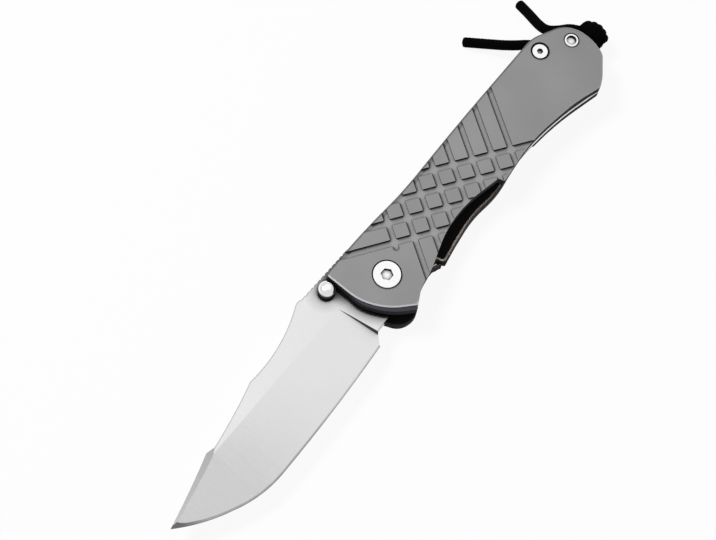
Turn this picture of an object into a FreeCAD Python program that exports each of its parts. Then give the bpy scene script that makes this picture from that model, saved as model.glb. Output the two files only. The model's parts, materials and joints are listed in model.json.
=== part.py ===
import FreeCAD, Part
import math
import os
from FreeCAD import Vector

# Folding frame-lock pocket knife, lying open with its show side up, in millimetres.
# It is modelled round its pivot: +X runs to the butt, +Y to the spine and +Z out of the show
# side, with z = 0 in the middle of the blade. At the end it is set down on its clip, with the
# origin under the middle of its box.

# Handle scales
TAIL = 108.5  # pivot axis to the butt
NOSE = 12.4  # pivot axis to the front edge
BACK = 14.7  # pivot axis to the spine edge
BELLY = 13.7  # pivot axis to the belly corner at the butt
SCALE_THICKNESS = 4.0
EDGE_BREAK = 0.45  # chamfer round the outer faces
INNER_BREAK = 0.3  # chamfer round the inner faces
CORNER_RADIUS = 0.7  # rounding of the outline's sharp corners
LEDGE_DROP = 0.75  # face of the front scale down to the ledge along its nose

# Milled grip grooves of the front scale
GROOVE_WIDTH = 2.1
GROOVE_DEPTH = 0.55
RISING_GROOVES = 8
FALLING_GROOVES = 4
RISING_PITCH = 7.92  # along the spine
FALLING_PITCH = 12.03  # along the spine
RISING_START = 16.41  # pivot axis to the first rising groove, at the spine
FALLING_START = 4.63  # pivot axis back to the first falling groove, at the spine
FIRST_GROOVE_LENGTH = 13.65  # the first rising groove stops short of the pivot
RISING_ANGLE = 56.2
FALLING_ANGLE = -34.2

# Frame lock
LOCK_FACE = 9.5  # pivot axis to the end face of the lock bar
LOCK_FACE_TOP = 1.7  # pivot axis down to the upper end of that face
LOCK_FACE_BOTTOM = 5.9  # pivot axis down to the lower end of that face
LOCK_EDGE = 1.2  # pivot axis up to the long edge of the bar
LOCK_SLOT = 0.72  # width of the cut that frees the bar
LOCK_GAP = 0.05  # between the bar's end face and the tang
LOCK_THROW = 1.8  # how far the bar's end springs in behind the tang
FLEX_LINE = 64.0  # pivot axis to the line about which the bar bends
FLEX_WEB = 1.3  # thickness left at that line
RELIEF_WIDTH = 12.0  # width of the milled relief that leaves the web
RELIEF_HOLE = 1.5  # radius of the drilled end of the cut
BALL_RADIUS = 1.0
BALL_BACK = 1.9  # end face of the bar to the ball
BALL_DOWN = 3.9  # pivot axis down to the ball
BALL_STAND = 0.9  # how far the ball stands out of the bar
BALL_FIT = 0.02

# Blade
REACH = 102.7  # pivot axis to the tip
RAMP = 16.4  # pivot axis to the front corner of the thumb ramp
EDGE = 14.5  # pivot axis to the lowest point of the edge
BLADE_THICKNESS = 3.7
FOLD_ANGLE = 177.0
GRIND_HEIGHT = 5.3  # pivot axis up to the top of the ground face
GRIND_EDGE = 0.28  # half thickness that the main grind leaves at the edge
TIP_HALF = 0.5  # half thickness at the tip, on the ridge under the swedge
SWEDGE_HALF = 0.75  # half thickness that the swedge leaves at the spine
SWEDGE_WIDTH = 2.4  # width of the swedge at the notch
SWEDGE_TIP = 0.8  # its width at the tip
PLUNGE_RUN = 0.35  # length of the ramp from the flat into the grind
EDGE_BEVEL = 0.5  # width of the sharpened bevel
TIP_BEVEL = 0.75  # its width at the tip
EDGE_APEX = 0.05  # half thickness of the sharpened edge
NOTCHES = 11
NOTCH_PITCH = 1.75
NOTCH_RADIUS = 0.45
NOTCH_START = 2.8  # pivot axis to the last notch, next to the handle
DETENT_DEPTH = 0.55

# Thumb studs
STUD_RADIUS = 2.8
STUD_HEIGHT = 11.7  # pivot axis up to the stud
STUD_SINK = 0.35  # stud's top below the face of its scale
STUD_STOP = 0.1  # gap between the stud and the edge that stops it
STUD_FLANGE = 0.7  # thickness of the flange on the blade
STUD_SHANK = 1.5  # radius
STUD_SHANK_DEPTH = 2.2  # reach of the shank into the far stud
STUD_CROWN = 2.1  # rounding of the head's rim
RING_SECTION = 0.42  # radius of the soft ring's section
RING_ROOM = 0.1  # play above and below the ring

# Pivot
PIVOT_HEAD = 4.75  # radius
PIVOT_HEAD_HEIGHT = 1.5
PIVOT_SHAFT = 2.4  # radius
PIVOT_BORE = 1.55  # radius
PIVOT_SOCKET = 3.6  # across flats
BUSHING_RADIUS = 3.2
WASHER_RADIUS = 8.4
WASHER_THICKNESS = 0.45
WASHER_HOLES = 8
WASHER_HOLE = 0.9  # radius
RUNNING_FIT = 0.03
SEAT_FIT = 0.1

# Posts and screws at the butt
STANDOFF_BACK = 14.9  # butt to the standoff
STANDOFF_Y = 9.5
STANDOFF_RADIUS = 2.5
LANYARD_BACK = 4.9  # butt to the lanyard post
LANYARD_Y = 3.9
LANYARD_RADIUS = 2.0
POST_BORE = 1.12  # radius
SCREW_SHANK = 1.05  # radius
SCREW_HEAD = 2.85  # radius
SCREW_HEAD_HEIGHT = 1.3
SCREW_SINK = 0.25  # head's top below the face of the scale
SCREW_ROOM = 0.35  # gap round the head in its counterbore
SCREW_SOCKET = 1.9  # across flats
SCREW_BITE = 2.1  # reach of the shank into its post
LANYARD_HEAD = 2.55  # radius
LANYARD_CUP = 1.7  # radius
SOCKET_DEPTH = 0.9

# Pocket clip
CLIP_THICKNESS = 1.3
CLIP_ROOM = 1.7  # how far the clip's bow stands off the scale
CLIP_WIDTH = 7.0
CLIP_TIP_WIDTH = 5.0
CLIP_TAIL = 3.6  # screw to the end of the tab
CLIP_TAB = 7.0  # screw to the start of the bow
CLIP_LENGTH = 48.0  # screw to the free end
CLIP_TOUCH = 0.25  # gap where the clip comes back to the scale
CLIP_FLARE = 1.3  # gap under its free end

# Lanyard cord
CORD_NAMES = ("lanyard_long_strand", "lanyard_short_strand", "lanyard_knot")
CORD = 3.5  # diameter
KNOT_RADIUS = 4.4
KNOT_HALF_LENGTH = 5.6
# The knot's centre and the cord's routes are measured from the butt.
KNOT_CENTRE = (5.6, 0.9, -2.0)
LONG_ROUTE = [
    (-22.6, 34.0, -7.4),
    (-18.9, 27.4, -5.8),
    (-15.6, 19.8, -2.3),
    (-11.5, 13.9, 0.1),
    (-9.3, 8.4, 0.0),
    (-8.9, 2.4, 0.1),
    (-6.3, -1.8, 0.0),
    (-1.7, -2.0, -0.2),
    (2.3, -2.3, -0.9),
]
SHORT_ROUTE = [
    (3.5, 4.8, -0.9),
    (1.7, 7.9, -0.3),
    (-1.6, 10.3, 0.0),
    (-3.9, 13.6, -0.8),
    (-2.5, 17.6, -3.4),
    (-0.1, 22.9, -5.7),
    (1.6, 28.3, -7.4),
]

OVERRUN = 4.0  # how far every cutter passes what it cuts

# Levels through the thickness
HALF_BLADE = BLADE_THICKNESS / 2
INNER = HALF_BLADE + WASHER_THICKNESS  # inner face of each scale
OUTER = INNER + SCALE_THICKNESS  # outer face of each scale

# Places along the handle
STANDOFF_X = TAIL - STANDOFF_BACK
LANYARD_X = TAIL - LANYARD_BACK

# Scale outlines: corners in shares of TAIL and NOSE along X, and of BACK and BELLY along Y,
# each with the share of the room beside it that its rounding takes, or 0 where it is crisp.
SPINE_AND_BUTT_SHARES = [
    (-0.99, 1.0, 0.2),
    (0.074, 0.995, 1),
    (0.23, 0.915, 1),
    (0.51, 0.98, 1),
    (0.881, 0.99, 0.5),
    (0.975, 0.65, 1),
    (1.0, 0.31, 1),
    (1.0, -0.11, 1),
    (0.983, -0.504, 0.6),
]
FRONT_BELLY_SHARES = [
    (0.915, -0.89, 1),
    (0.886, -0.989, 0),
    (0.797, -0.763, 1),
    (0.613, -0.547, 1),
    (0.4535, -0.686, 0),
    (0.449, -0.535, 0),
    (0.336, -0.338, 1),
    (0.226, -0.358, 1),
    (0.09, -0.73, 1),
    (0.032, -0.796, 1),
    (-0.12, -1.003, 0),
    (-0.68, -0.54, 1),
    (-1.0, 0.07, 1),
]
REAR_BELLY_SHARES = [
    (0.911, -0.95, 0),
    (0.747, -0.63, 1),
    (0.567, -0.518, 1),
    (0.438, -0.685, 1),
    (0.332, -0.584, 1),
    (0.221, -0.712, 1),
    (0.161, -0.803, 0),
    (0.125, -0.657, 0),
    (0.055, -0.65, 1),
    (0.02, -0.876, 1),
    (-0.21, -1.077, 1),
    (-0.677, -0.949, 1),
    (-0.935, -0.365, 1),
    (-1.0, -0.073, 1),
]
# Ledge along the nose of the front scale: corners as above.
LEDGE_SHARES = [
    (-0.985, 0.44, 0),
    (-1.05, 0.03, 1),
    (-0.755, -0.6, 1),
    (-0.2, -1.07, 0),
    (-0.04, -0.85, 0),
    (-0.5, -0.3, 0),
    (-0.8, 0.3, 0),
]
SETBACK_SHARE = 0.48  # of the shorter run beside a corner, the room for its rounding
LOCK_CUT_SHARES = [(0.152, -0.61), (0.175, -1.05)]  # bend of the bar's front cut, and its way out

# Blade outlines: shares of REACH along X, and of RAMP and EDGE along Y. A step is a corner, or
# a point to bend through and the corner after it.
SPINE_SHARES = [
    [(-0.886, 0.22), (-0.764, 0.445)],
    [(-0.735, 0.39)],
    [(-0.643, 0.494), (-0.517, 0.686)],
    [(-0.404, 0.699), (-0.248, 0.979)],
    [(-0.231, 1.0), (-0.218, 0.976)],
    [(-0.012, 0.948)],
]
CHOIL_SHARES = [
    [(-0.143, -0.59)],
    [(-0.158, -0.69), (-0.177, -0.845)],
]
EDGE_SHARES = [
    [(-0.409, -0.955), (-0.657, -1.0)],
    [(-0.755, -0.928), (-0.842, -0.703)],
    [(-0.925, -0.379), (-1.0, 0.04)],
]
TANG_BACK_SHARES = [(0.68, 0.723), (1.0, 0.278)]  # of the lock face and the ramp
TANG_FOOT_SHARES = [(0.92, 0.555), (0.66, 0.585)]  # of the lock face and the edge
PLUNGE_SHARES = [(-0.166, 0.317), (-0.146, -0.586)]  # upper and lower end of the plunge
CLIP_BEND_SHARES = (0.3, 0.6, 0.87)  # of the clip's length: two ends of its bow, and its touch
CORD_BEND_SHARE = 0.45  # of the shorter run beside a bend of the cord that the bend may take
EDGE_STATIONS = 4  # cross-sections taken along each stretch of the edge


def stretch(share, plus, minus):
    return share * (plus if share > 0 else minus)


def scaled(steps, right, left, up, down):
    """Outline steps in millimetres, from steps in shares."""
    return [[(stretch(x, right, left), stretch(y, up, down)) for x, y in step] for step in steps]


def curves(start, steps):
    """Lines and arcs through outline steps."""
    found = []
    here = Vector(*start)
    for step in steps:
        points = [Vector(*point) for point in step]
        if len(points) == 1:
            found.append(Part.LineSegment(here, points[0]))
        else:
            found.append(Part.Arc(here, points[0], points[1]))
        here = points[-1]
    return found


def plate(steps, low, high):
    """Closed outline, raised from one level to another."""
    edges = [curve.toShape() for curve in curves(steps[-1][-1], steps)]
    face = Part.Face(Part.Wire(edges))
    face.translate(Vector(0, 0, low))
    return face.extrude(Vector(0, 0, high - low))


def rod(radius, low, high, x=0, y=0):
    return Part.makeCylinder(radius, high - low, Vector(x, y, low))


def turned(profile):
    """Solid of revolution about Z from (radius, height) points."""
    points = [Vector(radius, 0, height) for radius, height in profile + profile[:1]]
    return Part.Face(Part.makePolygon(points)).revolve(Vector(0, 0, 0), Vector(0, 0, 1), 360)


def hexagon(across_flats, low, high):
    corner = across_flats / math.sqrt(3)
    points = [Vector(corner, 0, low)]
    for count in range(6):
        turn = math.radians(60 * (count + 1))
        points.append(Vector(corner * math.cos(turn), corner * math.sin(turn), low))
    return Part.Face(Part.makePolygon(points)).extrude(Vector(0, 0, high - low))


def rim(solid, level):
    """Edges of a solid that lie at one level."""
    return [edge for edge in solid.Edges if all(abs(v.Z - level) < RUNNING_FIT for v in edge.Vertexes)]


def flipped(solid):
    """Solid turned over, from the show side to the rear."""
    return solid.rotated(Vector(0, 0, 0), Vector(1, 0, 0), 180)


def moved(solid, x, y, z):
    return solid.translated(Vector(x, y, z))


def stud_place():
    return Vector(-(NOSE + STUD_STOP + STUD_RADIUS), STUD_HEIGHT, 0)


def closed_place(point):
    """Where a point of the open blade lies when the blade is shut."""
    return FreeCAD.Rotation(Vector(0, 0, 1), FOLD_ANGLE).multVec(point)


def screw(head, height, shank, reach):
    """Screw with its head's top at z = 0 and its shank down."""
    body = rod(head, -height, 0)
    body = body.makeChamfer(height / 4, rim(body, 0))
    return body.fuse(rod(shank, -height - reach, -height)).removeSplitter()


def hex_screw(head, height, shank, reach, socket):
    return screw(head, height, shank, reach).cut(hexagon(socket, -SOCKET_DEPTH, OVERRUN))


def counterbore(head, shank, depth, x, y):
    """Cutter for a screw's seat, from the outer face of the front scale down."""
    seat = rod(head, OUTER - depth, OUTER + OVERRUN, x, y)
    return seat.fuse(rod(shank, INNER - OVERRUN, OUTER, x, y))


def pivot_seat():
    return counterbore(PIVOT_HEAD + SEAT_FIT, PIVOT_SHAFT + SEAT_FIT, PIVOT_HEAD_HEIGHT, 0, 0)


def lanyard_seat(y):
    return counterbore(LANYARD_HEAD + SEAT_FIT, SCREW_SHANK + SEAT_FIT, SCREW_HEAD_HEIGHT, LANYARD_X, y)


def rounded_wire(corners):
    """Closed outline whose corners, each with its rounding, are blended by tangent arcs."""
    starts = []
    arcs = []
    for index, (corner, rounding) in enumerate(corners):
        before = corners[index - 1][0] - corner
        after = corners[(index + 1) % len(corners)][0] - corner
        opening = before.getAngle(after) / 2
        room = SETBACK_SHARE * min(before.Length, after.Length)
        setback = max(rounding * room, min(room, CORNER_RADIUS / math.tan(opening)))
        radius = setback * math.tan(opening)
        bisector = (before.normalize() + after.normalize()).normalize()
        start = corner + before * setback
        end = corner + after * setback
        middle = corner + bisector * (radius / math.sin(opening) - radius)
        starts.append(start)
        arcs.append(Part.Arc(start, middle, end))
    edges = []
    for arc, start in zip(arcs, starts[1:] + starts[:1]):
        edges.append(arc.toShape())
        edges.append(Part.LineSegment(arc.EndPoint, start).toShape())
    return Part.Wire(edges)


def scale_plate(shares, thickness):
    """Plate with a scale's outline, on the inner face of the front scale."""
    corners = []
    for x, y, rounding in shares:
        corners.append((Vector(stretch(x, TAIL, NOSE), stretch(y, BACK, BELLY), INNER), rounding))
    return Part.Face(rounded_wire(corners)).extrude(Vector(0, 0, thickness))


def scale_blank(belly_shares):
    """Scale with its edges broken, at the level of the front scale."""
    blank = scale_plate(SPINE_AND_BUTT_SHARES + belly_shares, SCALE_THICKNESS)
    blank = blank.makeChamfer(EDGE_BREAK, rim(blank, OUTER))
    return blank.makeChamfer(INNER_BREAK, rim(blank, INNER))


def groove(angle, length):
    """Cutter for one groove, running down from its end at the spine, with a round far end."""
    floor = OUTER - GROOVE_DEPTH
    half = GROOVE_WIDTH / 2
    run = Part.makeBox(length + OVERRUN, GROOVE_WIDTH, OVERRUN, Vector(-length, -half, floor))
    cutter = run.fuse(rod(half, floor, floor + OVERRUN, -length, 0))
    return cutter.rotated(Vector(0, 0, 0), Vector(0, 0, 1), angle)


def grooves():
    """The two crossing families of grip grooves."""
    full = 2 * (BACK + BELLY)
    found = []
    for count in range(RISING_GROOVES):
        length = FIRST_GROOVE_LENGTH if count == 0 else full
        found.append(moved(groove(RISING_ANGLE, length), RISING_START + count * RISING_PITCH, BACK, 0))
    for count in range(FALLING_GROOVES):
        place = count * FALLING_PITCH - FALLING_START
        found.append(moved(groove(FALLING_ANGLE + 180, full), place, BACK, 0))
    return found


def front_scale():
    ledge = scale_plate(LEDGE_SHARES, SCALE_THICKNESS - LEDGE_DROP)
    body = scale_blank(FRONT_BELLY_SHARES).fuse(ledge)
    cutters = grooves() + [pivot_seat(), lanyard_seat(LANYARD_Y)]
    sunk = SCREW_HEAD_HEIGHT + SCREW_SINK
    hole = SCREW_SHANK + SEAT_FIT
    cutters.append(counterbore(SCREW_HEAD + SCREW_ROOM, hole, sunk, STANDOFF_X, STANDOFF_Y))
    return body.cut(cutters)


def rear_blank():
    """Rear scale before the lock is cut free. Its belly has a seat where the shut stud stops."""
    centre = closed_place(stud_place())
    seat = rod(STUD_RADIUS + STUD_STOP, INNER - OVERRUN, OUTER + OVERRUN, centre.x, centre.y)
    return scale_blank(REAR_BELLY_SHARES).cut(seat).mirror(Vector(0, 0, 0), Vector(0, 0, 1))


def lock_outline():
    """Plan of the lock bar, run out past the belly."""
    corner = LOCK_FACE + LOCK_FACE_TOP + LOCK_EDGE
    cut = [(x * TAIL, y * BELLY) for x, y in LOCK_CUT_SHARES]
    points = [(LOCK_FACE, -LOCK_FACE_TOP), (LOCK_FACE, -LOCK_FACE_BOTTOM)] + cut
    points += [(FLEX_LINE, cut[-1][1]), (FLEX_LINE, LOCK_EDGE), (corner, LOCK_EDGE)]
    corners = [Vector(x, y, 0) for x, y in points + points[:1]]
    return Part.Face(Part.makePolygon(corners))


def through_rear(face):
    """Plan face raised through the whole rear scale."""
    face = face.translated(Vector(0, 0, -OUTER - OVERRUN))
    return face.extrude(Vector(0, 0, SCALE_THICKNESS + 2 * OVERRUN))


def flex_axis():
    """Point on the line about which the lock bar bends, in the middle of its web."""
    return Vector(FLEX_LINE, 0, -INNER - FLEX_WEB / 2)


def relief():
    """Round-cornered channel across the root of the lock bar, milled from outside."""
    deep = SCALE_THICKNESS - FLEX_WEB
    low = -OUTER - OVERRUN
    half = RELIEF_WIDTH / 2
    corner = Vector(FLEX_LINE - half, LOCK_EDGE - 2 * BELLY, low)
    channel = Part.makeBox(RELIEF_WIDTH, 2 * BELLY, deep + OVERRUN, corner)
    long_edges = [edge for edge in rim(channel, deep - OUTER) if edge.Length > BELLY]
    return channel.makeFillet(deep / 2, long_edges)


def rear_scale():
    body = rear_blank().cut(relief())
    window = through_rear(lock_outline().makeOffset2D(LOCK_SLOT))
    drill = rod(RELIEF_HOLE, -OUTER - OVERRUN, OVERRUN - INNER, FLEX_LINE, LOCK_EDGE + LOCK_SLOT / 2)
    cutters = [window, drill, flipped(pivot_seat()), flipped(lanyard_seat(-LANYARD_Y))]
    hole = SCREW_SHANK + SEAT_FIT
    cutters.append(rod(hole, -OUTER - OVERRUN, OVERRUN - INNER, STANDOFF_X, STANDOFF_Y))
    return body.cut(cutters)


def lock_angle():
    return math.degrees(math.asin(LOCK_THROW / (FLEX_LINE - LOCK_FACE)))


def ball_place():
    """Centre of the detent ball while the lock bar lies flush."""
    return Vector(LOCK_FACE + BALL_BACK, -BALL_DOWN, BALL_STAND - BALL_RADIUS - INNER)


def sprung(solid):
    """Piece of the lock, swung in behind the tang as it is while the blade is open."""
    return solid.rotated(flex_axis(), Vector(0, 1, 0), lock_angle())


def lock_bar():
    blank = rear_blank().cut(relief())
    axis = flex_axis()
    bar = blank.common(through_rear(lock_outline()))
    knuckle_end = Vector(axis.x, LOCK_EDGE, axis.z)
    knuckle = Part.makeCylinder(FLEX_WEB / 2, 2 * BELLY, knuckle_end, Vector(0, -1, 0))
    bar = bar.fuse(blank.common(knuckle)).removeSplitter()
    ball = ball_place()
    pocket = rod(BALL_RADIUS + BALL_FIT, ball.z - BALL_RADIUS, OVERRUN, ball.x, ball.y)
    return sprung(bar.cut(pocket))


def detent_ball():
    return sprung(Part.makeSphere(BALL_RADIUS, ball_place()))


def edge_curves():
    heel = scaled(CHOIL_SHARES, REACH, REACH, RAMP, EDGE)[-1][-1]
    return curves(heel, scaled(EDGE_SHARES, REACH, REACH, RAMP, EDGE))


def swedge_curve():
    tip = scaled(EDGE_SHARES, REACH, REACH, RAMP, EDGE)[-1][-1]
    return curves(tip, scaled(SPINE_SHARES[:1], REACH, REACH, RAMP, EDGE))[0]


def along(curve):
    """Places spaced along a curve, without its end, as parameters of the curve."""
    span = curve.LastParameter - curve.FirstParameter
    return [curve.FirstParameter + span * step / EDGE_STATIONS for step in range(EDGE_STATIONS)]


def ridge(x):
    """Point on the ridge at the top of the ground face, which falls and thins to the tip."""
    notch = swedge_curve().EndPoint
    tip = swedge_curve().StartPoint
    part = max(0, (x - notch.x) / (tip.x - notch.x))
    height = GRIND_HEIGHT + part * (tip.y - GRIND_HEIGHT)
    return Vector(x, height, HALF_BLADE + part * (TIP_HALF - HALF_BLADE))


def ground_section(upper, lower):
    """Upright section of a grinding cutter, over the line through two points."""
    line = (lower - upper).normalize() * OVERRUN
    first = upper - line
    last = lower + line
    cap = HALF_BLADE + OVERRUN
    corners = [first, last, Vector(last.x, last.y, cap), Vector(first.x, first.y, cap), first]
    return Part.makePolygon(corners)


def both_sides(cutter):
    return [cutter, cutter.mirror(Vector(0, 0, 0), Vector(0, 0, 1))]


def plunge_point(share, drop, level):
    x, y = share
    return Vector(x * REACH - drop, stretch(y, RAMP, EDGE), level)


def main_grind():
    """The broad ground face of one side, from the plunge to the tip."""
    upper, lower = PLUNGE_SHARES
    lifted = HALF_BLADE + GRIND_EDGE
    ramp_top = [plunge_point(upper, 0, lifted), plunge_point(lower, 0, lifted)]
    heel = edge_curves()[0].StartPoint
    full_top = plunge_point(upper, PLUNGE_RUN, HALF_BLADE)
    full_top.y = GRIND_HEIGHT
    full_low = Vector(lower[0] * REACH - PLUNGE_RUN, heel.y, GRIND_EDGE)
    ramp = Part.makeLoft([ground_section(*ramp_top), ground_section(full_top, full_low)], True, True)
    sections = [ground_section(full_top, full_low)]
    for curve in edge_curves():
        for point in [curve.value(place) for place in along(curve)]:
            if point.x < full_top.x:
                sections.append(ground_section(ridge(point.x), Vector(point.x, point.y, GRIND_EDGE)))
    tip = edge_curves()[-1].EndPoint
    sections.append(ground_section(ridge(tip.x), Vector(tip.x, tip.y - TIP_HALF, GRIND_EDGE)))
    return [ramp, Part.makeLoft(sections, True, True)]


def swedge():
    """The false edge of one side, from the tip to the foot of the notch, where it runs out."""
    sections = []
    curve = swedge_curve()
    for point in [curve.value(place) for place in along(curve)] + [curve.EndPoint]:
        part = (point.x + REACH) / (curve.EndPoint.x + REACH)
        half = GRIND_EDGE + part * (SWEDGE_HALF - GRIND_EDGE)
        width = SWEDGE_TIP + part * (SWEDGE_WIDTH - SWEDGE_TIP)
        upper = Vector(point.x, point.y - width, ridge(point.x).z)
        sections.append(ground_section(upper, Vector(point.x, point.y, half)))
    foot = Vector(*scaled(SPINE_SHARES, REACH, REACH, RAMP, EDGE)[1][-1], HALF_BLADE)
    sections.append(ground_section(foot, foot + Vector(0, SWEDGE_WIDTH, SWEDGE_HALF - HALF_BLADE)))
    return Part.makeLoft(sections, True, True)


def bevel_section(point, heading, width):
    """Section of the sharpening cutter across a point of the edge."""
    inward = Vector(heading.y, -heading.x, 0)
    upper = point + inward * width + Vector(0, 0, GRIND_EDGE)
    return ground_section(upper, point + Vector(0, 0, EDGE_APEX))


def sharpening():
    """The narrow bevel of one side that makes the cutting edge, wider and run on past the tip."""
    stations = [(curve, place) for curve in edge_curves() for place in along(curve)]
    sections = []
    for count, (curve, place) in enumerate(stations):
        width = EDGE_BEVEL + (TIP_BEVEL - EDGE_BEVEL) * (count / len(stations)) ** 4
        sections.append(bevel_section(curve.value(place), curve.tangent(place)[0], width))
    heading = curve.tangent(curve.LastParameter)[0]
    sections.append(bevel_section(curve.EndPoint + heading * TIP_BEVEL, heading, TIP_BEVEL))
    return Part.makeLoft(sections, True, True)


def ramp_notches():
    """Cutters for the grip notches along the thumb ramp."""
    ramp_front, ramp_back = [step[-1] for step in scaled(SPINE_SHARES, REACH, REACH, RAMP, EDGE)[-2:]]
    slope = (ramp_front[1] - ramp_back[1]) / (ramp_front[0] - ramp_back[0])
    found = []
    for count in range(NOTCHES):
        x = -NOTCH_START - count * NOTCH_PITCH
        y = ramp_back[1] + slope * (x - ramp_back[0]) + NOTCH_RADIUS / 2
        found.append(rod(NOTCH_RADIUS, -OVERRUN, OVERRUN, x, y))
    return found


def blade():
    face_x = LOCK_FACE - LOCK_GAP
    steps = scaled(SPINE_SHARES, REACH, REACH, RAMP, EDGE)
    steps.append([(x * face_x, y * RAMP) for x, y in TANG_BACK_SHARES])
    steps.append([(face_x, -LOCK_FACE_BOTTOM - LOCK_SLOT)])
    steps.append([(x * face_x, -y * EDGE) for x, y in TANG_FOOT_SHARES])
    steps += scaled(CHOIL_SHARES + EDGE_SHARES, REACH, REACH, RAMP, EDGE)
    body = plate(steps, -HALF_BLADE, HALF_BLADE)
    cutters = ramp_notches()
    for cutter in main_grind() + [swedge(), sharpening()]:
        cutters += both_sides(cutter)
    stud = stud_place()
    cutters.append(rod(BUSHING_RADIUS + RUNNING_FIT, -OVERRUN, OVERRUN))
    cutters.append(rod(STUD_SHANK + RUNNING_FIT, -OVERRUN, OVERRUN, stud.x, stud.y))
    open_turn = FreeCAD.Rotation(Vector(0, 0, 1), -FOLD_ANGLE)
    detent = open_turn.multVec(Vector(ball_place().x, ball_place().y, 0))
    cutters.append(rod(BALL_RADIUS, -OVERRUN, DETENT_DEPTH - HALF_BLADE, detent.x, detent.y))
    return body.cut(cutters)


def stud_levels():
    """Top of the flange, top of the ring groove and top of the head, above mid-blade."""
    flange = HALF_BLADE + STUD_FLANGE
    return flange, flange + 2 * (RING_SECTION + RING_ROOM), OUTER - STUD_SINK


def stud_neck():
    return STUD_RADIUS - 2 * RING_SECTION


def stud_body():
    """Turned stud with a flange on the blade, a groove for its ring and a crowned head."""
    flange, groove_top, top = stud_levels()
    profile = [
        (0, HALF_BLADE),
        (STUD_RADIUS - RING_SECTION / 2, HALF_BLADE),
        (STUD_RADIUS - RING_SECTION / 2, flange),
        (stud_neck(), flange),
        (stud_neck(), groove_top),
        (STUD_RADIUS, groove_top),
        (STUD_RADIUS, top),
        (0, top),
    ]
    body = turned(profile)
    return body.makeFillet(STUD_CROWN, rim(body, top))


def front_thumb_stud():
    place = stud_place()
    shank = rod(STUD_SHANK, -HALF_BLADE - STUD_SHANK_DEPTH, HALF_BLADE)
    return moved(stud_body().fuse(shank).removeSplitter(), place.x, place.y, 0)


def rear_thumb_stud():
    place = stud_place()
    bore = rod(STUD_SHANK + RUNNING_FIT, 0, HALF_BLADE + STUD_SHANK_DEPTH + RING_ROOM)
    return moved(flipped(stud_body().cut(bore)), place.x, place.y, 0)


def stud_ring():
    place = stud_place()
    flange = stud_levels()[0]
    major = STUD_RADIUS - RING_SECTION + BALL_FIT
    level = flange + RING_SECTION + RING_ROOM
    return Part.makeTorus(major, RING_SECTION, Vector(place.x, place.y, level))


def washer():
    """Perforated bearing washer, above the blade."""
    ring = rod(WASHER_RADIUS, HALF_BLADE, INNER).cut(rod(BUSHING_RADIUS + SEAT_FIT, 0, OUTER))
    circle = (WASHER_RADIUS + BUSHING_RADIUS) / 2
    holes = []
    for count in range(WASHER_HOLES):
        turn = 2 * math.pi * count / WASHER_HOLES
        holes.append(rod(WASHER_HOLE, 0, OUTER, circle * math.cos(turn), circle * math.sin(turn)))
    return ring.cut(holes)


def pivot_bushing():
    return rod(BUSHING_RADIUS, -INNER, INNER).cut(rod(PIVOT_SHAFT + SEAT_FIT, -OUTER, OUTER))


def pivot_barrel():
    reach = 2 * (OUTER - PIVOT_HEAD_HEIGHT) - SEAT_FIT
    barrel = hex_screw(PIVOT_HEAD, PIVOT_HEAD_HEIGHT, PIVOT_SHAFT, reach, PIVOT_SOCKET)
    bore = rod(PIVOT_BORE, -2 * OUTER, -2 * PIVOT_HEAD_HEIGHT)
    return moved(barrel.cut(bore), 0, 0, OUTER)


def pivot_screw():
    reach = 2 * (OUTER - 2 * PIVOT_HEAD_HEIGHT)
    shank = PIVOT_BORE - RUNNING_FIT
    body = hex_screw(PIVOT_HEAD, PIVOT_HEAD_HEIGHT, shank, reach, PIVOT_SOCKET)
    return flipped(moved(body, 0, 0, OUTER))


def post(radius, x, y):
    """Tapped post between the two scales."""
    return rod(radius, -INNER, INNER, x, y).cut(rod(POST_BORE, -OUTER, OUTER, x, y))


def standoff_screw():
    reach = SCALE_THICKNESS - SCREW_HEAD_HEIGHT - SCREW_SINK + SCREW_BITE
    body = hex_screw(SCREW_HEAD, SCREW_HEAD_HEIGHT, SCREW_SHANK, reach, SCREW_SOCKET)
    return moved(body, STANDOFF_X, STANDOFF_Y, OUTER - SCREW_SINK)


def lanyard_screw():
    """Cup-headed screw, at the level of the front scale."""
    reach = SCALE_THICKNESS - SCREW_HEAD_HEIGHT + SCREW_BITE
    body = screw(LANYARD_HEAD, SCREW_HEAD_HEIGHT, SCREW_SHANK, reach)
    return moved(body.cut(rod(LANYARD_CUP, -SOCKET_DEPTH, OVERRUN)), 0, 0, OUTER)


def clip_screw():
    reach = CLIP_THICKNESS + SCALE_THICKNESS + SCREW_BITE
    head = (CLIP_ROOM + SCREW_HEAD_HEIGHT) / 2
    body = hex_screw(SCREW_HEAD, head, SCREW_SHANK, reach, SCREW_SOCKET)
    return flipped(moved(body, STANDOFF_X, -STANDOFF_Y, OUTER + CLIP_THICKNESS + head))


def clip_side():
    """Side view of the clip in the XZ plane: a flat tab, then a bow that comes back and flares."""
    near_share, far_share, touch_share = CLIP_BEND_SHARES
    line = [
        (-CLIP_TAIL, 0, 0),
        (CLIP_TAB, 0, 1),
        (near_share * CLIP_LENGTH, CLIP_ROOM, 1),
        (far_share * CLIP_LENGTH, CLIP_ROOM, 1),
        (touch_share * CLIP_LENGTH, CLIP_TOUCH, 1),
        (CLIP_LENGTH, CLIP_FLARE, 0),
    ]
    inner = [(Vector(STANDOFF_X - run, 0, -OUTER - gap), rounding) for run, gap, rounding in line]
    lowered = Vector(0, 0, -CLIP_THICKNESS)
    outer = [(corner + lowered, rounding) for corner, rounding in inner]
    return Part.Face(rounded_wire(inner + outer[::-1]))


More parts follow.
